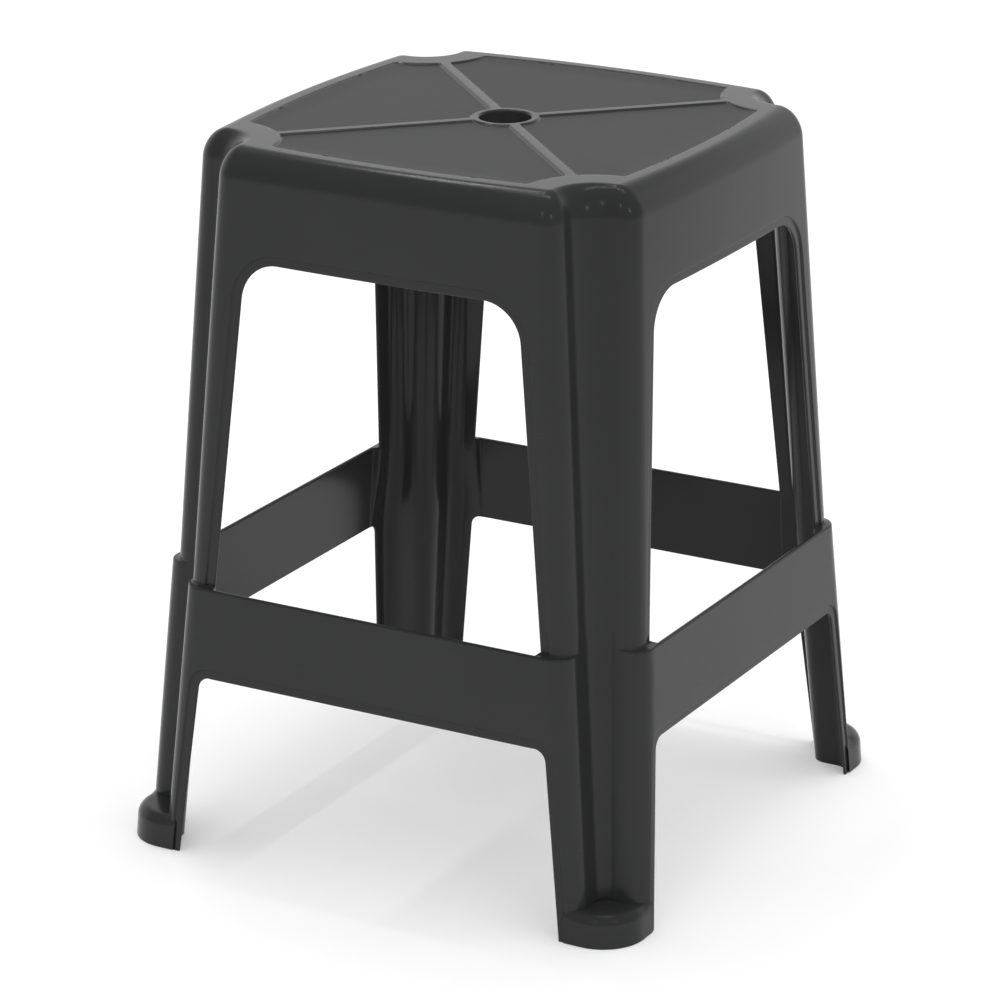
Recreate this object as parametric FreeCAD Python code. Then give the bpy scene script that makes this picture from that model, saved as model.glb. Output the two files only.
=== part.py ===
import FreeCAD, Part
import math
import os
from FreeCAD import Vector

# Stacking stool, one thin plastic moulding, in millimetres.
# +Z is up, the floor is z = 0 and the origin is the middle of the footprint.
# The seat and the footprint are square, and the legs stand on the diagonals.
# A channel is the hollow down the outside of each corner, from the seat to the toe.

# Overall sizes
seat_height = 450.0
foot_half_width = 179.0
wall = 3.0

# Lower stage: the feet, the lower legs and the band of stretchers
step_height = 175.0
lower_draw_in = 10.7
foot_channel_depth = 29.3
lower_channel_draw_in = 14.8
foot_channel_round = 7.5
step_channel_round = 13.0
edge_round = 13.0

# Upper stage: the upper legs and the aprons, stepped in from the lower stage
step_width = 5.2
upper_draw_in = 13.6
upper_channel_draw_in = 19.4
seat_channel_round = 20.0
apron_bow = 3.4
least_bow = 0.2
ledge_thickness = 3.0
ledge_end_gap = 0.4

# Openings in the four sides, with a flange of wall left beside each channel
apron_height = 66.5
window_top_flange = 26.8
window_foot_flange = 20.8
window_corner_round = 26.0
stretcher_height = 57.7
gap_top_flange = 18.4
gap_foot_flange = 14.5
gap_corner_round = 8.0
joint_gap = 1.4

# Seat, with an edge rolled over towards the top
roll_height = 18.5
roll_width = 16.0
channel_roll = 11.0
seat_corner_round = 1.0
rolled_channel_round = 27.5
seat_edge_bow = 7.2
roll_steps = 9
hole_radius = 16.0
ring_width = 4.0
collar_wall = 3.0
collar_depth = 12.0
rib_thickness = 3.0
rib_depth = 9.0
panel_recess = 0.5
panel_margin = 5.5
land_width = 16.5
line_width = 5.0

# Toes that close the foot of each channel
toe_height = 14.0
toe_dome_height = 6.5
toe_dome_width = 6.0
toe_dome_steps = 3
toe_corner_round = 28.0

# Room past a face for cutting solids
clear = 5.0

# Half widths and channel offsets at the heights where the stages begin and end
lower_top_half_width = foot_half_width - lower_draw_in
upper_foot_half_width = lower_top_half_width - step_width
seat_half_width = upper_foot_half_width - upper_draw_in
foot_channel_offset = foot_half_width - foot_channel_depth
step_channel_offset = foot_channel_offset - lower_channel_draw_in
seat_channel_offset = step_channel_offset - upper_channel_draw_in
seat_base = seat_height - roll_height
window_top = seat_height - apron_height
gap_top = step_height - stretcher_height


def blend(low, high, z, z_low, z_high):
    return low + (high - low) * (z - z_low) / (z_high - z_low)


def lower_section(z):
    """Half width, channel offset, edge round, channel round and bow of the lower stage."""
    half = blend(foot_half_width, lower_top_half_width, z, 0.0, step_height)
    channel = blend(foot_channel_offset, step_channel_offset, z, 0.0, step_height)
    corner = blend(foot_channel_round, step_channel_round, z, 0.0, step_height)
    return half, channel, edge_round, corner, 0.0


def upper_section(z):
    half = blend(upper_foot_half_width, seat_half_width, z, step_height, seat_height)
    channel = blend(step_channel_offset, seat_channel_offset, z, step_height, seat_height)
    corner = blend(step_channel_round, seat_channel_round, z, step_height, seat_height)
    bow = blend(least_bow, apron_bow, z, step_height, seat_base)
    return half, channel, edge_round, corner, bow


def quarter_fall(rise, height):
    """How far a quarter round has turned in, as a share, at a rise above its start."""
    share = min(max(rise / height, 0.0), 1.0)
    return 1.0 - math.sqrt(1.0 - share * share)


def seat_section(z, inset):
    """The upper section rolled over towards the top, with its skin set in by inset."""
    half, channel, edge, corner, bow = set_in(upper_section(z), inset)
    turn = quarter_fall(z - seat_base, roll_height - inset)
    half = half - (roll_width - inset) * turn
    channel = channel - (channel_roll - inset) * turn
    edge = edge + (seat_corner_round - edge) * turn
    corner = corner + (rolled_channel_round - corner) * turn
    bow = bow + (seat_edge_bow - bow) * turn
    return half, channel, edge, corner, bow


def ring_wire(section, z):
    """Closed outline of a square with rounded edges and a rounded channel in each corner."""
    half, channel, edge, corner, bow = section
    bend = math.sqrt(0.5)
    outer = half - edge
    inner = channel - edge
    core = channel + corner
    face = ("line", (half, -inner), (half, inner))
    if bow > 0.0:
        face = ("arc", (half, -inner), (half + bow, 0.0), (half, inner))
    quarter = [
        face,
        ("arc", (half, inner), (outer + edge * bend, inner + edge * bend), (outer, channel)),
        ("line", (outer, channel), (core, channel)),
        ("arc", (core, channel), (core - corner * bend, core - corner * bend), (channel, core)),
        ("line", (channel, core), (channel, outer)),
        ("arc", (channel, outer), (inner + edge * bend, outer + edge * bend), (inner, half)),
    ]
    edges = []
    for turn in range(4):
        cosine = round(math.cos(turn * math.pi / 2))
        sine = round(math.sin(turn * math.pi / 2))
        for piece in quarter:
            points = [Vector(x * cosine - y * sine, x * sine + y * cosine, z) for x, y in piece[1:]]
            if piece[0] == "line":
                edges.append(Part.LineSegment(points[0], points[1]).toShape())
            else:
                edges.append(Part.Arc(points[0], points[1], points[2]).toShape())
    return Part.Wire(edges)


def set_in(section, inset):
    half, channel, edge, corner, bow = section
    return half - inset, channel - inset, edge - inset, corner + inset, bow


def loft(wires):
    return Part.makeLoft(wires, True, True)


def stage_solid(section_at, bottom, top, inset):
    return loft([ring_wire(set_in(section_at(z), inset), z) for z in (bottom, top)])


def stage_shell(section_at, bottom, top):
    outside = stage_solid(section_at, bottom, top, 0.0)
    inside = stage_solid(section_at, bottom - clear, top + clear, wall)
    return outside.cut(inside)


def seat_levels(top, height):
    """Heights of the outlines that the roll is drawn through, closer together near the top."""
    angles = [math.pi / 2 * step / roll_steps for step in range(roll_steps + 1)]
    return [top - height + height * math.sin(angle) for angle in angles]


def seat_hollow():
    """The room under the seat, inside its skin."""
    levels = seat_levels(seat_height - wall, roll_height - wall)
    levels[0] = seat_base - clear
    return loft([ring_wire(seat_section(z, wall), z) for z in levels])


def seat_shell():
    outside = loft([ring_wire(seat_section(z, 0.0), z) for z in seat_levels(seat_height, roll_height)])
    return outside.cut(seat_hollow())


def opening_face(foot_half, top_half, foot_z, top_z, corner):
    """Upright outline of an opening with leaning sides and rounded top corners, in the XZ plane."""
    lean = (foot_half - top_half) / (top_z - foot_z)
    start_half = foot_half + lean * clear
    bottom = foot_z - clear
    angle = math.atan(lean)
    drop = corner * (1.0 + math.sin(angle))
    centre_x = top_half + lean * corner - corner / math.cos(angle)
    centre_z = top_z - corner
    side_x = centre_x + corner * math.cos(angle)
    side_z = centre_z + corner * math.sin(angle)
    middle = (angle + math.pi / 2) / 2
    mid_x = centre_x + corner * math.cos(middle)
    mid_z = centre_z + corner * math.sin(middle)

    def at(x, z):
        return Vector(x, 0.0, z)

    edges = [
        Part.LineSegment(at(-start_half, bottom), at(start_half, bottom)).toShape(),
        Part.LineSegment(at(start_half, bottom), at(side_x, side_z)).toShape(),
        Part.Arc(at(side_x, side_z), at(mid_x, mid_z), at(centre_x, top_z)).toShape(),
        Part.LineSegment(at(centre_x, top_z), at(-centre_x, top_z)).toShape(),
        Part.Arc(at(-centre_x, top_z), at(-mid_x, mid_z), at(-side_x, side_z)).toShape(),
        Part.LineSegment(at(-side_x, side_z), at(-start_half, bottom)).toShape(),
    ]
    return Part.Face(Part.Wire(edges))


def opening_cutters(foot_half, top_half, foot_z, top_z, corner):
    reach = foot_half_width + clear
    face = opening_face(foot_half, top_half, foot_z, top_z, corner)
    face.translate(Vector(0.0, -reach, 0.0))
    along_y = face.extrude(Vector(0.0, 2 * reach, 0.0))
    along_x = along_y.copy()
    along_x.rotate(Vector(0, 0, 0), Vector(0, 0, 1), 90)
    return along_y, along_x


def block(x_low, x_high, y_low, y_high, z_low, z_high):
    corner = Vector(x_low, y_low, z_low)
    return Part.makeBox(x_high - x_low, y_high - y_low, z_high - z_low, corner)


def side_block(turn, half_length, z_low, z_high):
    """A block that takes the middle of one side, turned round to the side wanted."""
    reach = foot_half_width + clear
    inner = seat_channel_offset
    shape = block(-half_length, half_length, -reach, -inner, z_low, z_high)
    shape.rotate(Vector(0, 0, 0), Vector(0, 0, 1), turn * 90)
    return shape


def corner_block(sign_x, sign_y, z_low, z_high):
    reach = foot_half_width + clear
    xs = sorted((0.0, sign_x * reach))
    ys = sorted((0.0, sign_y * reach))
    return block(xs[0], xs[1], ys[0], ys[1], z_low, z_high)


def rounded_square_wire(half, corner, z):
    inner = half - corner
    bend = corner * math.sqrt(0.5)
    edges = []
    for turn in range(4):
        cosine = round(math.cos(turn * math.pi / 2))
        sine = round(math.sin(turn * math.pi / 2))
        points = [(half, -inner), (half, inner), (inner + bend, inner + bend), (inner, half)]
        turned = [Vector(x * cosine - y * sine, x * sine + y * cosine, z) for x, y in points]
        edges.append(Part.LineSegment(turned[0], turned[1]).toShape())
        edges.append(Part.Arc(turned[1], turned[2], turned[3]).toShape())
    return Part.Wire(edges)


def toe_solid(inset, bottom):
    """The rounded corner of the foot with a domed top, set in by inset."""
    levels = [(bottom, 0.0), (toe_height - inset, 0.0)]
    for step in range(1, toe_dome_steps + 1):
        angle = math.pi / 2 * step / toe_dome_steps
        rise = toe_dome_height * math.sin(angle)
        turn = toe_dome_width * (1.0 - math.cos(angle))
        levels.append((toe_height - inset + rise, turn))
    wires = []
    for z, turn in levels:
        half = lower_section(z)[0] - inset - turn
        wires.append(rounded_square_wire(half, toe_corner_round - inset - turn, z))
    return loft(wires)


def seat_panels():
    """The four sunken panels of the seat, between the lines, the lands, the ring and the edge."""
    base = seat_height - panel_recess
    gap = line_width * math.sqrt(0.5)
    half, channel, edge, corner, bow = seat_section(seat_height, 0.0)
    border = (half - panel_margin, channel, edge, corner, bow)
    inside = Part.Face(ring_wire(border, base)).extrude(Vector(0, 0, clear))
    inside = inside.cut(Part.makeCylinder(hole_radius + ring_width, 2 * clear, Vector(0, 0, base - clear)))
    middle = channel + corner
    for x in (-middle, middle):
        for y in (-middle, middle):
            land = Part.makeCylinder(corner + land_width, 2 * clear, Vector(x, y, base - clear))
            inside = inside.cut(land)
    points = [(0.0, -gap), (-half, -half - gap), (half, -half - gap), (0.0, -gap)]
    wedge = Part.Face(Part.makePolygon([Vector(x, y, base) for x, y in points])).extrude(Vector(0, 0, clear))
    reach = half + bow
    wedge = wedge.fuse(block(-half, half, -reach - clear, -half - gap, base, base + clear))
    panels = []
    for turn in range(4):
        turned = wedge.copy()
        turned.rotate(Vector(0, 0, 0), Vector(0, 0, 1), turn * 90)
        panels.append(inside.common(turned))
    return panels


def make_seat():
    seat = seat_shell()
    for panel in seat_panels():
        seat = seat.cut(panel)
    hole = Part.makeCylinder(hole_radius, 2 * roll_height, Vector(0, 0, seat_base))
    return seat.cut(hole)


def make_collar():
    top = seat_height - wall
    outside = Part.makeCylinder(hole_radius + collar_wall, collar_depth, Vector(0, 0, top - collar_depth))
    inside = Part.makeCylinder(hole_radius, collar_depth + 2 * clear, Vector(0, 0, top - collar_depth - clear))
    return outside.cut(inside)


def make_rib(turn, hollow):
    """An upright rib under the seat, from the collar to the back of one channel."""
    top = seat_height - wall
    start = hole_radius + collar_wall
    reach = 2 * seat_half_width
    rib = block(0.0, reach, -rib_thickness / 2, rib_thickness / 2, top - rib_depth, top)
    core = Part.makeCylinder(start, rib_depth + 2 * clear, Vector(0, 0, top - rib_depth - clear))
    rib = rib.cut(core)
    rib.rotate(Vector(0, 0, 0), Vector(0, 0, 1), 45 + turn * 90)
    return rib.common(hollow)


def make_ledge():
    """The step on which the upper stage stands on the lower stage, beside each channel."""
    low = step_height - ledge_thickness
    plate = stage_solid(lower_section, low, step_height, wall)
    hollow = stage_solid(upper_section, low - clear, step_height + clear, wall)
    ledge = plate.cut(hollow)
    end = step_channel_offset - wall - ledge_end_gap
    reach = foot_half_width + clear
    for x in (-reach, end):
        for y in (-reach, end):
            ledge = ledge.cut(block(x, x + reach - end, y, y + reach - end, low - clear, step_height + clear))
    return ledge


def single(shape):
    solids = shape.Solids
    if len(solids) == 1:
        return solids[0]
    return Part.makeCompound(solids)


def save(name, shape):
    shape = single(shape)
    shape.exportStep(os.path.join("parts", name + ".step"))
    print(name, len(shape.Solids), round(shape.Volume), shape.isValid())


os.makedirs("parts", exist_ok=True)

gap_foot_half_width = foot_channel_offset - gap_foot_flange
gap_top_half_width = lower_section(gap_top)[1] - gap_top_flange
window_foot_half_width = step_channel_offset - window_foot_flange
window_top_half_width = upper_section(window_top)[1] - window_top_flange

# Where one named section of the moulding meets the next
apron_half_length = window_top_half_width - window_corner_round - joint_gap
stretcher_half_length = gap_top_half_width - gap_corner_round - joint_gap

lower = stage_shell(lower_section, 0.0, step_height)
for cutter in opening_cutters(gap_foot_half_width, gap_top_half_width, 0.0, gap_top, gap_corner_round):
    lower = lower.cut(cutter)

window_cutters = opening_cutters(
    window_foot_half_width, window_top_half_width, step_height, window_top, window_corner_round)
upper = stage_shell(upper_section, step_height, seat_base)
for cutter in window_cutters:
    upper = upper.cut(cutter)
ledge = make_ledge()
for cutter in window_cutters:
    ledge = ledge.cut(cutter)

save("seat_deck", make_seat())
save("hole_collar", make_collar())

for turn, name in enumerate(("front", "right", "rear", "left")):
    apron_zone = side_block(turn, apron_half_length, window_top - clear, seat_base + clear)
    save(name + "_apron", upper.common(apron_zone))
    upper = upper.cut(apron_zone)
    stretcher_zone = side_block(turn, stretcher_half_length, gap_top - clear, step_height + clear)
    save(name + "_stretcher", lower.common(stretcher_zone))
    lower = lower.cut(stretcher_zone)

toes = toe_solid(0.0, 0.0).cut(toe_solid(wall, -clear))
toes = toes.cut(stage_solid(lower_section, -clear, step_height, 0.0))
hollow = seat_hollow()
corners = [("rear_right", 1, 1), ("rear_left", -1, 1), ("front_left", -1, -1), ("front_right", 1, -1)]
for turn, (name, sign_x, sign_y) in enumerate(corners):
    zone = corner_block(sign_x, sign_y, -clear, seat_height)
    save(name + "_deck_rib", make_rib(turn, hollow))
    upper_leg = upper.common(zone).fuse(ledge.common(zone)).removeSplitter()
    save(name + "_upper_leg", upper_leg)
    save(name + "_lower_leg", lower.common(zone))
    save(name + "_toe", toes.common(zone))
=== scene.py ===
import math
import bmesh
import bpy
from mathutils import Matrix, Vector, geometry, kdtree


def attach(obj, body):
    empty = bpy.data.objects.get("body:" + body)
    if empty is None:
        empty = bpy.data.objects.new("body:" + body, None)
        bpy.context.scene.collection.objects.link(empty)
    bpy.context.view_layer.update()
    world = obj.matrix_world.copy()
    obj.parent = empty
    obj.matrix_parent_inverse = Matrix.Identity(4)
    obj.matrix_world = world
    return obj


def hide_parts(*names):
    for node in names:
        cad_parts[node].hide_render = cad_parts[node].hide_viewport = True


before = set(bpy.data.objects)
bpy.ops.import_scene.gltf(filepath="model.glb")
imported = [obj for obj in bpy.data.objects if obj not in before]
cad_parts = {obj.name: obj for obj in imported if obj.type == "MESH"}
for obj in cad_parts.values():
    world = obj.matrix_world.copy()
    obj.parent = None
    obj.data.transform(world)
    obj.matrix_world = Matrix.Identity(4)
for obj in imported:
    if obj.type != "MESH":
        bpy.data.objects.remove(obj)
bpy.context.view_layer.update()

# Stacking stool, one thin charcoal moulding. Sizes in millimetres, turned into metres when a mesh is made.
MM = 0.001
QUARTER = math.pi / 2

# Stages of the moulding
seat_height = 450.0
wall = 3.0
step_height = 175.0
foot_half_width = 179.0
lower_top_half_width = 168.3
upper_foot_half_width = 163.1
seat_half_width = 149.5
foot_channel_offset = 149.7
step_channel_offset = 134.9
seat_channel_offset = 115.5
foot_channel_round = 7.5
step_channel_round = 13.0
seat_channel_round = 20.0
edge_round = 13.0
apron_bow = 3.4
least_bow = 0.2

# Step between the stages: a rounded rim on the stretchers and a ledge beside each channel
rim_bevel = 1.2
rim_bevel_steps = 5
shoulder_round = 1.1
shoulder_turn = 0.2
shoulder_fillet = 1.0
channel_lap = 0.1
upper_overlap = 3.0
ledge_foot = 108.0
ledge_top = 176.0
ledge_end = 1.7

# Openings and the sunken band round them
window_top = 383.5
window_top_half_width = 93.4
window_foot_half_width = 114.1
window_corner_round = 26.0
gap_top = 117.3
gap_top_half_width = 121.4
gap_foot_half_width = 135.2
gap_corner_round = 8.0
band_width = 6.0
band_recess = 1.2
band_slope = 1.1
rim_round = 0.7
inner_strip_end = 7.5
opening_side_steps = 14
opening_corner_steps = 12
opening_top_steps = 8

# Seat
roll_width = 16.0
roll_height = 18.5
roll_steps = 24
channel_roll = 11.0
seat_corner_round = 1.0
rolled_channel_round = 27.5
seat_edge_bow = 7.2
seat_base = seat_height - roll_height
hole_radius = 16.0
ring_width = 4.0
hole_lip_round = 1.6
hole_steps = 64
collar_wall = 3.0
collar_depth = 12.0
collar_lip_round = 1.0
collar_draft = 0.1
collar_flare = 1.2
collar_flare_height = 1.5
rib_thickness = 3.0
rib_depth = 9.0
rib_edge_round = 1.0
rib_flare = 0.49
rib_steps = 14
land_width = 16.5
line_width = 5.0
panel_margin = 5.5
panel_recess = 0.5
panel_slope = 2.0
panel_corner_round = 3.0
panel_ring_round = 2.6
slope_steps = 4
dish_depth = 0.6
dish_start = 118.0
top_grid = 4.0
underside_grid = 8.0

# Toes
toe_start = 139.2
toe_bend_start = 1.7
toe_height = 14.0
toe_dome_height = 6.5
toe_dome_width = 6.0
toe_corner_round = 28.0
toe_bevel = 0.7
toe_bevel_middle = 0.2

# Welding of the mesh: points per millimetre, and the least step that counts
weld_steps = 500
tiny = 1e-6

# Where the named sections of the moulding meet
apron_half_length = 66.0
stretcher_half_length = 112.0

CORNERS = {(-1, -1): "front_left", (1, -1): "front_right", (1, 1): "rear_right", (-1, 1): "rear_left"}
SIDES = ("front", "right", "rear", "left")


def blend(low, high, share):
    return low + (high - low) * share


def smooth(share):
    share = min(max(share, 0.0), 1.0)
    return share * share * (3.0 - 2.0 * share)


# The moulding's outline at any height

def spread(start, end, count):
    return [blend(start, end, step / count) for step in range(count + 1)]


def round_off(radius, count):
    """Steps round a quarter turn, each as its distances from the two faces that the round joins."""
    return [(radius * (1.0 - math.sin(a)), radius * (1.0 - math.cos(a))) for a in spread(0.0, QUARTER, count)]


def lower_section(z):
    share = z / step_height
    half = blend(foot_half_width, lower_top_half_width, share)
    channel = blend(foot_channel_offset, step_channel_offset - channel_lap, share)
    corner = blend(foot_channel_round, step_channel_round, share)
    return half, channel, edge_round, corner, 0.0


def upper_section(z):
    share = (z - step_height) / (seat_height - step_height)
    half = blend(upper_foot_half_width, seat_half_width, share)
    channel = blend(step_channel_offset, seat_channel_offset, share)
    corner = blend(step_channel_round, seat_channel_round, share)
    bow = blend(least_bow, apron_bow, (z - step_height) / (seat_base - step_height))
    return half, channel, edge_round, corner, max(bow, 0.0)


def set_in(section, inset):
    half, channel, edge, corner, bow = section
    return half - inset, channel - inset, edge - inset, corner + inset, bow


def quarter_fall(rise, height):
    share = min(max(rise / height, 0.0), 1.0)
    return 1.0 - math.sqrt(max(1.0 - share * share, 0.0))


def seat_section(z, inset):
    """Outline of the rolled seat edge, with its skin set in by inset."""
    half, channel, edge, corner, bow = set_in(upper_section(z), inset)
    turn = quarter_fall(z - seat_base, roll_height - inset)
    half -= (roll_width - inset) * turn
    channel -= (channel_roll - inset) * turn
    edge = blend(edge, seat_corner_round, turn)
    corner = blend(corner, rolled_channel_round, turn)
    return half, channel, edge, corner, blend(bow, seat_edge_bow, turn)


def ledge_section(z, inset, reach):
    """The lower stage's inner skin, drawn in beside each channel to carry the upper stage."""
    lower = set_in(lower_section(z), inset)
    rise = smooth((z - ledge_foot) / (ledge_top - ledge_foot))
    beside = abs(reach) - window_foot_half_width
    share = rise * smooth((beside + 1.5) / ledge_end)
    upper = set_in(upper_section(z), inset - channel_lap)
    return tuple(blend(low, high, share) for low, high in zip(lower, upper))


def skin_section(stage, z, inset, reach=foot_half_width):
    if stage == "lower":
        return ledge_section(z, inset, reach) if inset > wall / 2 else set_in(lower_section(z), inset)
    if z > seat_base:
        return seat_section(z, inset)
    return set_in(upper_section(z), inset)


def side_point(place, section, z):
    """A point of the front side. The place runs 0 to 1 along half the face, to 2 round the
    channel's edge, to 3 down the channel's wall and to 4 round its corner, as far as the diagonal."""
    half, channel, edge, corner, bow = section
    inner = channel - edge
    run = abs(place)
    if run <= 1.0:
        x = run * inner
        y = half + bow * (1.0 - run * run)
    elif run <= 2.0:
        angle = (run - 1.0) * QUARTER
        x = inner + edge * math.sin(angle)
        y = half - edge + edge * math.cos(angle)
    elif run <= 3.0:
        x = channel
        y = blend(half - edge, channel + corner, run - 2.0)
    else:
        angle = (run - 3.0) * QUARTER / 2
        x = channel + corner * (1.0 - math.cos(angle))
        y = channel + corner * (1.0 - math.sin(angle))
    return (x if place >= 0 else -x), -y, z


def place_of(reach, section):
    """The place at a distance along the face from its middle."""
    inner = section[1] - section[2]
    if abs(reach) <= inner:
        return reach / inner
    run = 1.0 + (abs(reach) - inner) / (section[2] * QUARTER)
    return math.copysign(run, reach)


def reach_of(place, section):
    inner = section[1] - section[2]
    if abs(place) <= 1.0:
        return place * inner
    return math.copysign(inner + (abs(place) - 1.0) * section[2] * QUARTER, place)


STRIP_END = {"upper": 1.0, "lower": 1.0 + 1.0 / 3.0}


def strip_reach(stage, section):
    """Distance from the middle of the face to where the strip round an opening ends."""
    return reach_of(STRIP_END[stage], section)


# A mesh of welded faces, each with the name of its section of the moulding

class Skin:
    """Points and faces of one moulded skin. Points that fall together become one."""

    def __init__(self):
        self.points = []
        self.found = {}
        self.faces = []
        self.names = []
        self.slots = []

    def point(self, x, y, z):
        key = (round(x * weld_steps), round(y * weld_steps), round(z * weld_steps))
        if key not in self.found:
            self.found[key] = len(self.points)
            self.points.append(Vector((x, y, z)))
        return self.found[key]

    def face(self, corners, name, slot=0):
        ring = []
        for index in corners:
            if index not in ring:
                ring.append(index)
        if len(ring) > 2:
            self.faces.append(ring)
            self.names.append(name)
            self.slots.append(slot)

    def sheet(self, rows, name_at):
        """Quads between rows of points, each given as (x, y, z)."""
        grid = [[self.point(*spot) for spot in row] for row in rows]
        for low, high, low_spots, high_spots in zip(grid, grid[1:], rows, rows[1:]):
            for i in range(len(low) - 1):
                corners = [low[i], low[i + 1], high[i + 1], high[i]]
                middle = [(low_spots[i][k] + high_spots[i + 1][k]) / 2 for k in range(3)]
                self.face(corners, name_at(middle))

    def four_sides(self, rows, name_at):
        for turn in range(4):
            self.sheet([[turned(spot, turn) for spot in row] for row in rows], name_at)

    def turn_outwards(self):
        """Every face of a welded skin looks out of the plastic."""
        shape = bmesh.new()
        spots = [shape.verts.new(point) for point in self.points]
        made = [shape.faces.new([spots[i] for i in ring]) for ring in self.faces]
        bmesh.ops.recalc_face_normals(shape, faces=made)
        shape.verts.index_update()
        self.faces = [[spot.index for spot in face.verts] for face in made]
        shape.free()

    def corner_normals(self):
        """Normals weighted by the size of the faces, so that small rounds leave the walls flat."""
        normals = [Vector((0, 0, 0)) for _ in self.points]
        for ring in self.faces:
            spots = [self.points[i] for i in ring]
            size = Vector((0, 0, 0))
            for k in range(1, len(spots) - 1):
                size += (spots[k] - spots[0]).cross(spots[k + 1] - spots[0])
            for index in ring:
                normals[index] += size
        return [n.normalized() if n.length > 0 else Vector((0, 0, 1)) for n in normals]

    def pieces(self, finishes):
        self.turn_outwards()
        normals = self.corner_normals()
        made = {}
        for name in sorted(set(self.names)):
            numbers = {}
            rings = []
            slots = []
            for ring, owner, slot in zip(self.faces, self.names, self.slots):
                if owner == name:
                    rings.append([numbers.setdefault(i, len(numbers)) for i in ring])
                    slots.append(slot)
            order = sorted(numbers, key=numbers.get)
            mesh = bpy.data.meshes.new(name + "_skin")
            mesh.from_pydata([tuple(self.points[i] * MM) for i in order], [], rings)
            for finish in finishes:
                mesh.materials.append(finish)
            mesh.polygons.foreach_set("material_index", slots)
            mesh.polygons.foreach_set("use_smooth", [True] * len(rings))
            mesh.normals_split_custom_set_from_vertices([tuple(normals[i]) for i in order])
            made[name] = mesh
        return made


def turned(spot, turn):
    x, y, z = spot
    for _ in range(turn):
        x, y = -y, x
    return x, y, z


def corner_name(spot):
    return CORNERS[(1 if spot[0] > 0 else -1, 1 if spot[1] > 0 else -1)]


def side_name(spot):
    x, y = spot[0], spot[1]
    if abs(y) > abs(x):
        return SIDES[0] if y < 0 else SIDES[2]
    return SIDES[1] if x > 0 else SIDES[3]


def upper_name(spot):
    across = min(abs(spot[0]), abs(spot[1]))
    if spot[2] > seat_base:
        return "seat_deck"
    if across < apron_half_length and spot[2] > window_top - band_recess:
        return side_name(spot) + "_apron"
    return corner_name(spot) + "_upper_leg"


def lower_name(spot):
    across = min(abs(spot[0]), abs(spot[1]))
    if across < stretcher_half_length and spot[2] > gap_top - band_recess:
        return side_name(spot) + "_stretcher"
    return corner_name(spot) + "_lower_leg"


# One side of a stage, with its opening

def opening_columns(stage, foot_half, top_half, foot_z, top_z, corner, low_z, high_z, joint):
    """Half the outline of an opening from its foot to the middle of its top. Each column is
    (x, z) on the outline, the direction away from the opening, and (reach, z) where the strip ends."""
    lean = (foot_half - top_half) / (top_z - foot_z)
    angle = math.atan(lean)
    centre_x = top_half + lean * corner - corner / math.cos(angle)
    centre_z = top_z - corner
    side_x = centre_x + corner * math.cos(angle)
    side_z = centre_z + corner * math.sin(angle)

    def reach_at(z):
        return strip_reach(stage, skin_section(stage, z, 0.0))

    columns = []
    for z in spread(low_z, side_z, opening_side_steps)[:-1]:
        columns.append((side_x + lean * (side_z - z), z, 1.0 / math.cos(angle), 0.0, reach_at(z), z))
    slope = (reach_at(high_z) - reach_at(low_z)) / (high_z - low_z)
    meet = math.atan2(high_z - centre_z, reach_at(high_z) - centre_x)
    turns = spread(angle, meet, opening_corner_steps)[:-1] + spread(meet, QUARTER, opening_top_steps)
    for turn in turns:
        along, up = math.cos(turn), math.sin(turn)
        if turn < meet - tiny:
            run = (reach_at(centre_z) - centre_x) / (along - slope * up)
        else:
            run = (high_z - centre_z) / up
        columns.append((centre_x + corner * along, centre_z + corner * up, along, up,
                        centre_x + run * along, centre_z + run * up))
    for x in spread(centre_x, joint, 4)[1:] + spread(joint, 0.0, opening_top_steps)[1:]:
        columns.append((x, top_z, 0.0, 1.0, x, high_z))
    return columns


def rim_profile():
    """Distance from the opening's edge and depth below the outer skin, from the face over the
    sunken band and the rounded rim to the inner skin."""
    outer = [(band_width + band_slope * (0.5 - share), band_recess * smooth(share))
             for share in spread(0.0, 1.0, 5)]
    outer.append((band_width / 2, band_recess))
    rim = [(along, band_recess + depth) for along, depth in round_off(rim_round, 3)]
    rim += [(along, wall - depth) for depth, along in round_off(rim_round, 3)]
    return outer + rim + [(band_width, wall), (inner_strip_end, wall)]


def strip_rows(stage, columns):
    """Rows of points from the outer end of the strip, over the rim, to its inner end."""
    profile = rim_profile()
    outer_last = profile[0][0]
    inner_last = profile[-1][0]
    rows = []

    def row(make):
        right = [make(column) for column in columns]
        left = [(-x, y, z) for x, y, z in right[:-1]]
        rows.append(left + right[::-1])

    def spot(reach, z, depth):
        plain = skin_section(stage, z, 0.0)
        return side_point(place_of(reach, plain), skin_section(stage, z, depth, reach), z)

    def between(column, share, from_edge, depth):
        x, z, along, up, end_x, end_z = column
        near_x, near_z = x + from_edge * along, z + from_edge * up
        return spot(blend(end_x, near_x, share), blend(end_z, near_z, share), depth)

    for share in spread(0.0, 1.0, 6)[:-1]:
        row(lambda column: between(column, share, outer_last, 0.0))
    for from_edge, depth in profile:
        row(lambda column: between(column, 1.0, from_edge, depth))
    for share in spread(1.0, 0.0, 8)[1:]:
        row(lambda column: between(column, share, inner_last, wall))
    return rows


def corner_places(stage):
    """Places from the end of the strip round the channel's edge and wall to the diagonal."""
    return spread(STRIP_END[stage], 2.0, 9) + spread(2.0, 3.0, 3)[1:] + spread(3.0, 4.0, 7)[1:]


def side_heights(columns, high_z):
    """Heights at which the strip ends on the channel's edge."""
    heights = []
    for column in columns:
        if not heights or column[5] > heights[-1] + tiny:
            heights.append(min(column[5], high_z))
        if column[5] >= high_z - tiny:
            break
    return heights


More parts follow.
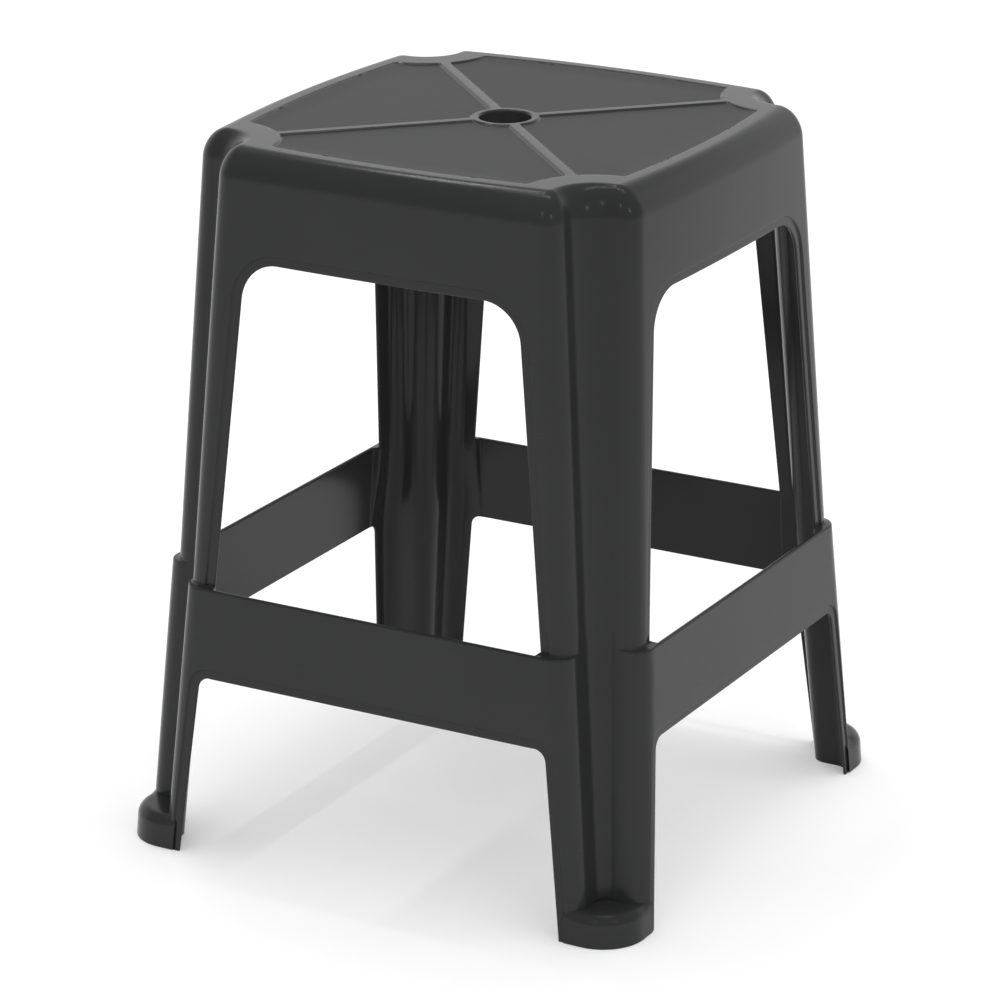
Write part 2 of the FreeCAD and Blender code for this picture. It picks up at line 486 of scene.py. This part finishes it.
def add_stage(skin, stage, columns, high_z, name_at):
    skin.four_sides(strip_rows(stage, columns), name_at)
    heights = side_heights(columns, high_z)
    for inset in (0.0, wall):
        for hand in (1, -1):
            rows = []
            for z in heights:
                section = skin_section(stage, z, inset)
                rows.append([side_point(hand * place, section, z) for place in corner_places(stage)])
            skin.four_sides(rows, name_at)
    return heights


def full_places(stage, columns, high_z):
    """Places all the way along one side where the strips and channels end at the top."""
    section = skin_section(stage, high_z, 0.0)
    right = [place_of(column[4], section) for column in columns if column[5] >= high_z - tiny]
    right = right[::-1] + corner_places(stage)[1:]
    return [-place for place in right[:0:-1]] + right


window_columns = opening_columns(
    "upper", window_foot_half_width, window_top_half_width, step_height, window_top,
    window_corner_round, step_height - upper_overlap, seat_base, apron_half_length)
gap_columns = opening_columns(
    "lower", gap_foot_half_width, gap_top_half_width, 0.0, gap_top,
    gap_corner_round, 0.0, step_height - rim_bevel, stretcher_half_length)


# Seat

def dish(x, y):
    """How far a panel sinks behind the band along the seat's edge."""
    half, channel, edge, _, bow = seat_section(seat_height, 0.0)
    across, along = max(abs(x), abs(y)), min(abs(x), abs(y))
    border = half - panel_margin + bow * (1.0 - (along / (channel - edge)) ** 2)
    return dish_depth * (1.0 - smooth((across - dish_start) / (border - dish_start)))


def add_roll(skin):
    """The rolled edge, outside and inside. Gives the outline of each skin at its top."""
    places = full_places("upper", window_columns, seat_base)
    rings = {}
    for inset in (0.0, wall):
        height = roll_height - inset
        rows = []
        for step in range(roll_steps + 1):
            z = seat_base + height * math.sin(QUARTER * step / roll_steps)
            section = seat_section(z, inset)
            rows.append([side_point(place, section, z) for place in places])
        skin.four_sides(rows, lambda spot: "seat_deck")
        rings[inset] = [turned(spot, turn)[:2] for turn in range(4) for spot in rows[-1][:-1]]
    return rings


def circle(radius, count):
    turns = [2 * math.pi * k / count for k in range(count)]
    return [(radius * math.cos(turn), radius * math.sin(turn)) for turn in turns]


def inside_ring(x, y, ring):
    found = False
    for (x0, y0), (x1, y1) in zip(ring, ring[1:] + ring[:1]):
        if (y0 > y) != (y1 > y) and x < (x1 - x0) * (y - y0) / (y1 - y0) + x0:
            found = not found
    return found


def set_in_ring(ring, inset):
    """The same closed outline, anticlockwise, moved inwards."""
    moved = []
    count = len(ring)
    for k in range(count):
        a, b, c = (Vector(ring[(k + d) % count]) for d in (-1, 0, 1))
        first, second = (b - a).normalized(), (c - b).normalized()
        normal = Vector((-first.y - second.y, first.x + second.x)).normalized()
        stretch = max(normal.dot(Vector((-first.y, first.x))), 0.4)
        moved.append(tuple(b + normal * inset / stretch))
    return moved


def rounded_outline(points, rounds):
    """A closed anticlockwise outline with each corner rounded by its own radius."""
    outline = []
    count = len(points)
    for k in range(count):
        a, b, c = (Vector(points[(k + d) % count]) for d in (-1, 0, 1))
        radius = rounds[k]
        if radius <= 0:
            outline.append(tuple(b))
            continue
        back, ahead = (a - b).normalized(), (c - b).normalized()
        half = back.angle(ahead) / 2
        run = radius / math.tan(half)
        centre = b + (back + ahead).normalized() * radius / math.sin(half)
        start, end = b + back * run - centre, b + ahead * run - centre
        sweep = start.angle_signed(end)
        for share in spread(0.0, 1.0, 4):
            turn = -sweep * share
            outline.append((centre.x + start.x * math.cos(turn) - start.y * math.sin(turn),
                            centre.y + start.x * math.sin(turn) + start.y * math.cos(turn)))
    return outline


def panel_outline():
    """The front sunken panel, anticlockwise, between the seat's edge, two lands, two lines and the ring."""
    half, channel, edge, corner, bow = seat_section(seat_height, 0.0)
    inner = channel - edge
    middle = channel + corner
    land = corner + land_width
    ring = hole_radius + ring_width

    def front(x):
        return panel_margin - half - bow * (1.0 - (x / inner) ** 2)

    end = middle - land
    for _ in range(8):
        end = middle - math.sqrt(land ** 2 - (middle + front(end)) ** 2)
    land_start = math.atan2(front(end) + middle, end - middle)
    land_end = 1.5 * QUARTER + math.asin(line_width / 2 / land)
    lands = [(middle + land * math.cos(a), land * math.sin(a) - middle)
             for a in spread(land_start, land_end, 8)[1:]]
    ring_turn = QUARTER / 2 + math.asin(line_width / 2 / ring)
    rings = [(ring * math.cos(a), ring * math.sin(a))
             for a in spread(-ring_turn, ring_turn - 2 * QUARTER, 10)]
    outer_end, inner_end = lands[-1], rings[0]
    line = [(blend(outer_end[0], inner_end[0], share), blend(outer_end[1], inner_end[1], share))
            for share in spread(0.0, 1.0, 12)[1:-1]]
    points = [(x, front(x)) for x in spread(-end, end, 28)]
    corners = {0: panel_corner_round, len(points) - 1: panel_corner_round}
    points += lands
    corners[len(points) - 1] = panel_corner_round
    points += line
    corners[len(points)] = panel_ring_round
    points += rings
    corners[len(points) - 1] = panel_ring_round
    points += [(-x, y) for x, y in line[::-1]]
    corners[len(points)] = panel_corner_round
    points += [(-x, y) for x, y in lands[::-1]]
    return rounded_outline(points, [corners.get(k, 0.0) for k in range(len(points))])


def fill_flat(skin, ring, hole, panels, level, pitch):
    """The seat's top or underside between its outline and its hole, sunk in the panels."""
    spots, edges, drops = [], [], []

    def loop(points, share):
        start = len(spots)
        for x, y in points:
            spots.append((x, y))
            drops.append(share * (panel_recess + dish(x, y)) if share else 0.0)
        edges.extend((start + k, start + (k + 1) % len(points)) for k in range(len(points)))

    loop(ring, 0.0)
    loop(hole, 0.0)
    floors = []
    for panel in panels:
        for share in spread(0.0, 1.0, slope_steps):
            border = set_in_ring(panel, panel_slope * share)
            loop(border, smooth(share))
        floors.append(border)
    borders = kdtree.KDTree(len(spots))
    for number, (x, y) in enumerate(spots):
        borders.insert((x, y, 0.0), number)
    borders.balance()
    # the grid is shifted a little, so that none of its points falls on an outline
    shift_x, shift_y = 0.31, 0.17
    count = int(seat_half_width / pitch)
    for i in range(-count, count + 1):
        for j in range(-count, count + 1):
            x, y = i * pitch + shift_x, j * pitch + shift_y
            if borders.find((x, y, 0.0))[2] < pitch / 2 or math.hypot(x, y) < hole_radius + ring_width:
                continue
            if not inside_ring(x, y, ring):
                continue
            spots.append((x, y))
            sunk = any(inside_ring(x, y, floor) for floor in floors)
            drops.append(panel_recess + dish(x, y) if sunk else 0.0)
    flat = geometry.delaunay_2d_cdt([Vector(spot) for spot in spots], edges, [], 0, 1e-4)
    numbers = []
    for spot, origin in zip(flat[0], flat[3]):
        numbers.append(skin.point(spot.x, spot.y, level - (drops[origin[0]] if origin else 0.0)))
    for tri in flat[2]:
        x = sum(flat[0][i].x for i in tri) / 3
        y = sum(flat[0][i].y for i in tri) / 3
        if inside_ring(x, y, ring) and not inside_ring(x, y, hole):
            sunk = any(inside_ring(x, y, floor) for floor in floors)
            skin.face([numbers[i] for i in tri], "seat_deck", 1 if sunk else 0)


def add_collar(skin):
    """The hole's rounded lip, its wall and the collar below, turned round the middle."""
    underside = seat_height - wall
    low = underside - collar_depth
    bore = hole_radius + collar_draft
    outer = hole_radius + collar_wall
    profile = [(hole_radius + side, seat_height - drop) for side, drop in round_off(hole_lip_round, 5)]
    profile += [(hole_radius, underside), (bore, low + collar_lip_round)]
    profile += [(bore + side, low + rise) for rise, side in round_off(collar_lip_round, 3)[1:]]
    profile += [(outer - side, low + rise) for side, rise in round_off(collar_lip_round, 3)]
    profile.append((outer + 2 * collar_draft, underside - collar_flare_height))
    profile.append((outer + collar_flare, underside))

    def name_at(spot):
        in_deck = spot[2] > underside - collar_draft and math.hypot(spot[0], spot[1]) < outer
        return "seat_deck" if in_deck else "hole_collar"

    turns = circle(1.0, hole_steps) + [(1.0, 0.0)]
    skin.sheet([[(x * radius, y * radius, z) for x, y in turns] for radius, z in profile], name_at)
    return hole_radius + hole_lip_round, outer + collar_flare


def build_upper():
    skin = Skin()
    add_stage(skin, "upper", window_columns, seat_base, upper_name)
    rings = add_roll(skin)
    lip, foot = add_collar(skin)
    panels = [[turned((x, y, 0), turn)[:2] for x, y in panel_outline()] for turn in range(4)]
    fill_flat(skin, rings[0.0], circle(lip, hole_steps), panels, seat_height, top_grid)
    fill_flat(skin, rings[wall], circle(foot, hole_steps), [], seat_height - wall, underside_grid)
    return skin


# Lower stage, ribs and toes

def band_depth(reach):
    """How far the sunken band beside the window's foot lies behind the upper stage's face."""
    return band_recess * (1.0 - smooth((abs(reach) - window_foot_half_width - band_width + 0.9) / 1.8))


def build_lower():
    skin = Skin()
    high = step_height - rim_bevel
    add_stage(skin, "lower", gap_columns, high, lower_name)
    plain = lower_section(high)
    places = full_places("lower", gap_columns, high)

    def rim(place, inset, z, reach):
        return side_point(place, skin_section("lower", z, inset, reach), z)

    def shoulder(place, across, z, reach):
        """A point on the rounded step, at a share of the way in from the lower face to the upper one."""
        upper = set_in(upper_section(z), band_depth(reach) + channel_lap / 2)
        section = tuple(blend(low, high, across) for low, high in zip(lower_section(z), upper))
        return side_point(place, section, z)

    def row(rim_inset, rim_z, across, shoulder_z):
        points = []
        for place in places:
            reach = reach_of(place, plain)
            beside = smooth((abs(reach) - window_foot_half_width + 1.5) / ledge_end)
            ends = rim(place, rim_inset, rim_z, reach), shoulder(place, across, shoulder_z, reach)
            points.append(tuple(blend(a, b, beside) for a, b in zip(*ends)))
        return points

    rows = [[side_point(place, plain, high) for place in places]]
    low = step_height - shoulder_round
    for turn in spread(0.0, QUARTER, rim_bevel_steps):
        rows.append(row(rim_bevel * (1.0 - math.cos(turn)), high + rim_bevel * math.sin(turn),
                        shoulder_turn * (1.0 - math.cos(turn)), low + shoulder_round * math.sin(turn)))
    for share in spread(0.0, 1.0, rim_bevel_steps):
        turn = QUARTER * share
        rise = shoulder_fillet * (1.0 - math.cos(turn))
        rows.append(row(blend(rim_bevel, wall - rim_bevel, share), step_height,
                        blend(shoulder_turn, 1.0, math.sin(turn)), step_height + rise))
    for turn in spread(0.0, QUARTER, 4):
        z = step_height - rim_bevel * (1.0 - math.cos(turn))
        inset = wall - rim_bevel * (1.0 - math.sin(turn))
        rows.append([rim(place, inset, z, reach_of(place, plain)) for place in places])
    skin.four_sides(rows, lower_name)
    return skin


def add_toes(skin):
    """The rounded corner of each foot, with its domed top reaching back to the channel's walls."""
    straight = spread(place_of(toe_start, lower_section(0.0)), toe_bend_start, 4)
    bend = [2.0] + spread(2.0, 3.0, 4)[1:] + spread(3.0, 4.0, 3)[1:]
    corner_start = foot_half_width - toe_corner_round
    top = toe_height + toe_dome_height

    def outline(index, z, inset):
        half = lower_section(z)[0]
        if index < len(straight):
            x = blend(toe_start, corner_start, index / (len(straight) - 1)) - (foot_half_width - half)
            return x, -(half - inset), z
        middle = half - toe_corner_round
        radius = toe_corner_round - inset
        turn = QUARTER / 2 * (index - len(straight) + 1) / len(bend)
        return middle + radius * math.sin(turn), -(middle + radius * math.cos(turn)), z

    def toe_column(index, place):
        """The toe's section at one place: up its face, over the dome, back to the channel and down inside."""
        far_x, far_y, _ = side_point(place, set_in(lower_section(top), wall / 2), top)
        x, y, _ = outline(index, top, 0.0)
        room = math.hypot(far_x - x, far_y - y)
        width = min(toe_dome_width, room)
        back = min(width + wall, room)
        inner = min(wall, room)
        column = [outline(index, 0.0, inner), outline(index, 0.0, min(toe_bevel, room))]
        column.append(outline(index, toe_bevel_middle, min(toe_bevel_middle, room)))
        column.append(outline(index, toe_bevel, 0.0))
        column += [outline(index, z, 0.0) for z in spread(4.0, toe_height, 3)]
        for angle in spread(0.0, QUARTER, 6)[1:]:
            rise = toe_dome_height * math.sin(angle)
            column.append(outline(index, toe_height + rise, width * (1.0 - math.cos(angle))))
        x, y, _ = column[-1]
        for share in spread(0.0, 1.0, 4)[1:]:
            column.append((blend(x, far_x, share), blend(y, far_y, share), top))
        x, y, _ = outline(index, top, back)
        for share in spread(0.0, 1.0, 3):
            column.append((blend(far_x, x, share), blend(far_y, y, share), top - wall))
        for angle in spread(QUARTER, 0.0, 4)[1:]:
            rise = toe_dome_height * math.sin(angle)
            inset = inner + (back - inner) * (1.0 - math.cos(angle))
            column.append(outline(index, toe_height - wall + rise, inset))
        return column + column[:1]

    for hand in (1, -1):
        columns = [[(hand * x, y, z) for x, y, z in toe_column(index, place)]
                   for index, place in enumerate(straight + bend)]
        skin.four_sides([list(row) for row in zip(*columns)], lambda spot: corner_name(spot) + "_toe")


def add_ribs(skin):
    """The thin upright ribs under the seat, from the collar out to the back of each channel."""
    half = rib_thickness / 2
    low = seat_height - wall - rib_depth
    high = seat_height - wall + 0.5
    outline = [(-half, high)]
    outline += [(side - half, low + rise) for rise, side in round_off(rib_edge_round, 3)]
    outline += [(half - side, low + rise) for side, rise in round_off(rib_edge_round, 3)]
    outline.append((half, high))

    def end_of(z):
        _, channel, _, corner, _ = seat_section(min(z, seat_height - wall), wall)
        return math.sqrt(2.0) * (channel + corner * (1.0 - math.sqrt(0.5))) + 1.0

    rows = []
    for share in spread(0.0, 1.0, rib_steps):
        ends = smooth((share - 1.0) * rib_steps + 1.0) + smooth(1.0 - share * rib_steps)
        row = []
        for across, z in outline:
            reach = blend(hole_radius + 1.0, end_of(z), share)
            wide = across * (1.0 + rib_flare * ends * (z - low) / rib_depth)
            row.append(((reach - wide) * math.sqrt(0.5), (reach + wide) * math.sqrt(0.5), z))
        rows.append(row)
    skin.four_sides(rows, lambda spot: corner_name(spot) + "_deck_rib")


# Finishes

def new_group(title, inputs, outputs):
    group = bpy.data.node_groups.new(title, "ShaderNodeTree")
    for label, kind, value in inputs:
        socket = group.interface.new_socket(name=label, in_out="INPUT", socket_type="NodeSocket" + kind)
        socket.default_value = value
    for label, kind in outputs:
        group.interface.new_socket(name=label, in_out="OUTPUT", socket_type="NodeSocket" + kind)
    return group


def add_node(tree, kind, settings=None, values=None):
    node = tree.nodes.new("ShaderNode" + kind)
    for key, value in (settings or {}).items():
        setattr(node, key, value)
    for key, value in (values or {}).items():
        node.inputs[key].default_value = value
    return node


def moulded_group():
    """Cooled plastic: slow waviness, the fine orange peel of the mould and faint handling marks."""
    group = new_group("moulded_surface",
                      [("Colour", "Color", (0.03, 0.03, 0.03, 1.0)), ("Tone", "Float", 0.1),
                       ("Polish", "Float", 0.3), ("Waviness", "Float", 0.3), ("Peel", "Float", 0.1),
                       ("Marks", "Float", 0.1)],
                      [("Colour", "Color"), ("Roughness", "Float"), ("Normal", "Vector")])
    link = group.links.new
    inside = group.nodes.new("NodeGroupInput")
    outside = group.nodes.new("NodeGroupOutput")
    place = add_node(group, "TexCoord")
    cloud = add_node(group, "TexNoise", None, {"Scale": 9.0, "Detail": 3.0, "Roughness": 0.5})
    link(place.outputs["Object"], cloud.inputs["Vector"])
    wave = add_node(group, "TexNoise", None, {"Scale": 16.0, "Detail": 1.0, "Roughness": 0.4})
    link(place.outputs["Object"], wave.inputs["Vector"])
    peel = add_node(group, "TexNoise", None, {"Scale": 900.0, "Detail": 2.0, "Roughness": 0.6})
    link(place.outputs["Object"], peel.inputs["Vector"])
    turn = add_node(group, "Mapping", None, {"Rotation": (0.3, 0.5, 0.9), "Scale": (1.0, 26.0, 26.0)})
    link(place.outputs["Object"], turn.inputs["Vector"])
    scuff = add_node(group, "TexNoise", None, {"Scale": 14.0, "Detail": 5.0, "Roughness": 0.7})
    link(turn.outputs["Vector"], scuff.inputs["Vector"])
    scuff_line = add_node(group, "MapRange", {"interpolation_type": "SMOOTHSTEP"},
                          {"From Min": 0.62, "From Max": 0.78, "To Min": 0.0, "To Max": 1.0})
    link(scuff.outputs["Fac"], scuff_line.inputs["Value"])

    spread_tone = add_node(group, "MapRange", None,
                           {"From Min": 0.3, "From Max": 0.7, "To Min": -1.0, "To Max": 1.0})
    link(cloud.outputs["Fac"], spread_tone.inputs["Value"])
    tone = add_node(group, "Math", {"operation": "MULTIPLY_ADD"}, {2: 1.0})
    link(spread_tone.outputs["Result"], tone.inputs[0])
    link(inside.outputs["Tone"], tone.inputs[1])
    colour = add_node(group, "VectorMath", {"operation": "SCALE"})
    link(inside.outputs["Colour"], colour.inputs[0])
    link(tone.outputs[0], colour.inputs["Scale"])
    link(colour.outputs["Vector"], outside.inputs["Colour"])

    marks = add_node(group, "Math", {"operation": "MULTIPLY_ADD"})
    link(scuff_line.outputs["Result"], marks.inputs[0])
    link(inside.outputs["Marks"], marks.inputs[1])
    link(inside.outputs["Polish"], marks.inputs[2])
    rough = add_node(group, "Math", {"operation": "MULTIPLY_ADD"}, {1: 0.06})
    link(cloud.outputs["Fac"], rough.inputs[0])
    link(marks.outputs[0], rough.inputs[2])
    link(rough.outputs[0], outside.inputs["Roughness"])

    slow = add_node(group, "Bump", None, {"Distance": 0.0006})
    link(inside.outputs["Waviness"], slow.inputs["Strength"])
    link(wave.outputs["Fac"], slow.inputs["Height"])
    fine = add_node(group, "Bump", None, {"Distance": 0.00006})
    link(inside.outputs["Peel"], fine.inputs["Strength"])
    link(peel.outputs["Fac"], fine.inputs["Height"])
    link(slow.outputs["Normal"], fine.inputs["Normal"])
    link(fine.outputs["Normal"], outside.inputs["Normal"])
    return group


def spark_group():
    """Spark-eroded texture of the seat's panels: tight rounded pits over a soft mottle."""
    group = new_group("spark_texture",
                      [("Size", "Float", 700.0), ("Depth", "Float", 0.6),
                       ("Normal", "Vector", (0.0, 0.0, 0.0))],
                      [("Pits", "Float"), ("Normal", "Vector")])
    link = group.links.new
    inside = group.nodes.new("NodeGroupInput")
    outside = group.nodes.new("NodeGroupOutput")
    place = add_node(group, "TexCoord")
    cells = add_node(group, "TexVoronoi", {"feature": "SMOOTH_F1"}, {"Smoothness": 0.8, "Randomness": 1.0})
    link(place.outputs["Object"], cells.inputs["Vector"])
    link(inside.outputs["Size"], cells.inputs["Scale"])
    mottle = add_node(group, "TexNoise", None, {"Detail": 3.0, "Roughness": 0.65})
    link(place.outputs["Object"], mottle.inputs["Vector"])
    link(inside.outputs["Size"], mottle.inputs["Scale"])
    mixed = add_node(group, "Math", {"operation": "ADD"})
    link(cells.outputs["Distance"], mixed.inputs[0])
    link(mottle.outputs["Fac"], mixed.inputs[1])
    bump = add_node(group, "Bump", None, {"Distance": 0.00012})
    link(inside.outputs["Depth"], bump.inputs["Strength"])
    link(mixed.outputs[0], bump.inputs["Height"])
    link(inside.outputs["Normal"], bump.inputs["Normal"])
    link(mixed.outputs[0], outside.inputs["Pits"])
    link(bump.outputs["Normal"], outside.inputs["Normal"])
    return group


def plastic(title, moulded, values, specular, spark=None, depth=0.0):
    """A charcoal finish of the moulding, with or without the seat's spark texture over it."""
    finish = bpy.data.materials.new(title)
    finish.use_nodes = True
    tree = finish.node_tree
    shader = tree.nodes["Principled BSDF"]
    shader.inputs["Specular IOR Level"].default_value = specular
    shader.inputs["IOR"].default_value = 1.49
    body = tree.nodes.new("ShaderNodeGroup")
    body.node_tree = moulded
    for key, value in values.items():
        body.inputs[key].default_value = value
    tree.links.new(body.outputs["Colour"], shader.inputs["Base Color"])
    tree.links.new(body.outputs["Roughness"], shader.inputs["Roughness"])
    normal = body.outputs["Normal"]
    if spark:
        grain = tree.nodes.new("ShaderNodeGroup")
        grain.node_tree = spark
        grain.inputs["Depth"].default_value = depth
        tree.links.new(normal, grain.inputs["Normal"])
        normal = grain.outputs["Normal"]
    tree.links.new(normal, shader.inputs["Normal"])
    return finish


moulded = moulded_group()
spark = spark_group()
wall_finish = plastic("charcoal_walls", moulded,
                      {"Colour": (0.026, 0.0265, 0.0265, 1.0), "Tone": 0.06, "Polish": 0.19,
                       "Waviness": 0.35, "Peel": 0.25, "Marks": 0.1}, 0.22)
panel_finish = plastic("charcoal_panels", moulded,
                       {"Colour": (0.03, 0.0305, 0.031, 1.0), "Tone": 0.08, "Polish": 0.48,
                        "Waviness": 0.3, "Peel": 0.2, "Marks": 0.12}, 0.27, spark, 0.5)


# Camera, floor and lights

# The camera was solved from the photograph: its focal length in pixels of a picture 1000 wide,
# its place in metres and its own axes
focal_pixels = 4341.67
picture_width = 1000.0
camera_place = (1.2613, -2.2474, 1.1144)
camera_right = (0.87169, 0.49005, -0.00193)
camera_up = (-0.16206, 0.29199, 0.94259)
camera_back = (0.46248, -0.82134, 0.33395)

floor_reach = 8.0
floor_lift = 0.24
world_light = 0.9
room_glow = 0.3
backdrop_direction = (-0.46, 0.82, 0.0)
lamp_target = (0.0, 0.0, 0.25)


def add_camera():
    lens = bpy.data.cameras.new("camera")
    lens.sensor_width = 36.0
    lens.lens = focal_pixels * lens.sensor_width / picture_width
    lens.clip_start = 0.05
    camera = bpy.data.objects.new("camera", lens)
    bpy.context.scene.collection.objects.link(camera)
    turn = Matrix((camera_right, camera_up, camera_back)).transposed().to_4x4()
    camera.matrix_world = Matrix.Translation(camera_place) @ turn
    bpy.context.scene.camera = camera


def reflected_rays(tree, path):
    """1 where a reflection or a look through glass meets the material."""
    reflected = add_node(tree, "Math", {"operation": "MAXIMUM"})
    tree.links.new(path.outputs["Is Glossy Ray"], reflected.inputs[0])
    tree.links.new(path.outputs["Is Transmission Ray"], reflected.inputs[1])
    return reflected.outputs[0]


def add_floor():
    mesh = bpy.data.meshes.new("floor")
    reach = floor_reach
    corners = [(-reach, -reach, 0), (reach, -reach, 0), (reach, reach, 0), (-reach, reach, 0)]
    mesh.from_pydata(corners, [], [(0, 1, 2, 3)])
    floor = bpy.data.objects.new("floor", mesh)
    bpy.context.scene.collection.objects.link(floor)
    finish = bpy.data.materials.new("pale_floor")
    finish.use_nodes = True
    tree = finish.node_tree
    shader = tree.nodes["Principled BSDF"]
    shader.inputs["Base Color"].default_value = (0.8, 0.8, 0.8, 1.0)
    shader.inputs["Roughness"].default_value = 0.9
    shader.inputs["Specular IOR Level"].default_value = 0.1
    shader.inputs["Emission Color"].default_value = (1.0, 1.0, 1.0, 1.0)
    path = tree.nodes.new("ShaderNodeLightPath")
    looked_at = add_node(tree, "Math", {"operation": "MAXIMUM"})
    tree.links.new(path.outputs["Is Camera Ray"], looked_at.inputs[0])
    tree.links.new(reflected_rays(tree, path), looked_at.inputs[1])
    seen = add_node(tree, "Math", {"operation": "MULTIPLY"}, {1: floor_lift})
    tree.links.new(looked_at.outputs[0], seen.inputs[0])
    tree.links.new(seen.outputs[0], shader.inputs["Emission Strength"])
    mesh.materials.append(finish)


def add_world():
    """Soft light from all round. A reflection shows the white backdrop behind the stool and a dim room."""
    world = bpy.data.worlds.new("studio")
    bpy.context.scene.world = world
    world.use_nodes = True
    tree = world.node_tree
    link = tree.links.new
    tree.nodes.clear()
    output = tree.nodes.new("ShaderNodeOutputWorld")
    place = add_node(tree, "TexCoord")
    behind = add_node(tree, "VectorMath", {"operation": "DOT_PRODUCT"}, {1: backdrop_direction})
    link(place.outputs["Generated"], behind.inputs[0])
    side = add_node(tree, "MapRange", {"interpolation_type": "SMOOTHSTEP"},
                    {"From Min": 0.0, "From Max": 0.45})
    link(behind.outputs["Value"], side.inputs["Value"])
    height = add_node(tree, "SeparateXYZ")
    link(place.outputs["Generated"], height.inputs[0])
    top = add_node(tree, "MapRange", {"interpolation_type": "SMOOTHSTEP"},
                   {"From Min": 0.35, "From Max": 0.75, "To Min": 1.0, "To Max": 0.0})
    link(height.outputs["Z"], top.inputs["Value"])
    backdrop = add_node(tree, "Math", {"operation": "MULTIPLY"})
    link(side.outputs["Result"], backdrop.inputs[0])
    link(top.outputs["Result"], backdrop.inputs[1])
    room = add_node(tree, "MapRange", None, {"To Min": room_glow, "To Max": 1.0})
    link(backdrop.outputs[0], room.inputs["Value"])
    path = tree.nodes.new("ShaderNodeLightPath")
    soft = add_node(tree, "Mix", {"data_type": "FLOAT"}, {"A": world_light})
    link(reflected_rays(tree, path), soft.inputs["Factor"])
    link(room.outputs["Result"], soft.inputs["B"])
    strength = add_node(tree, "Mix", {"data_type": "FLOAT"}, {"B": 1.0})
    link(path.outputs["Is Camera Ray"], strength.inputs["Factor"])
    link(soft.outputs["Result"], strength.inputs["A"])
    light = add_node(tree, "Background", None, {"Color": (1, 1, 1, 1)})
    link(strength.outputs["Result"], light.inputs["Strength"])
    link(light.outputs[0], output.inputs["Surface"])


def add_lamp(title, spot, size, power, mirrored=False, level=False):
    lamp = bpy.data.lights.new(title, "AREA")
    lamp.shape = "RECTANGLE"
    lamp.size, lamp.size_y = size
    lamp.energy = power
    holder = bpy.data.objects.new(title, lamp)
    bpy.context.scene.collection.objects.link(holder)
    holder.location = spot
    if not level:
        holder.rotation_euler = (Vector(spot) - Vector(lamp_target)).to_track_quat("Z", "Y").to_euler()
    holder.visible_glossy = mirrored


bpy.context.scene.view_settings.view_transform = "Standard"
add_camera()
add_floor()
add_world()
add_lamp("overhead_box", (0.2, 0.4, 2.6), (2.0, 2.0), 10.0)
add_lamp("right_box", (2.6, 0.6, 1.3), (1.2, 1.8), 2.0)
add_lamp("long_strip", (-1.22, 0.8, 2.65), (0.045, 1.0), 8.0, True, True)
add_lamp("short_strip", (-0.1, 0.15, 2.65), (1.4, 0.03), 5.0, True, True)
add_lamp("front_spot", (0.4, -2.2, 1.75), (0.08, 0.08), 1.5, True)
add_lamp("side_spot", (1.9, -1.2, 1.3), (0.08, 0.08), 1.5, True)


# Make the moulding

lower_skin = build_lower()
add_toes(lower_skin)
upper_skin = build_upper()
rib_skin = Skin()
add_ribs(rib_skin)
for skin in (lower_skin, upper_skin, rib_skin):
    for name, mesh in skin.pieces([wall_finish, panel_finish]).items():
        piece = bpy.data.objects.new(name + "_shell", mesh)
        bpy.context.scene.collection.objects.link(piece)
        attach(piece, "root")
        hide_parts(name)
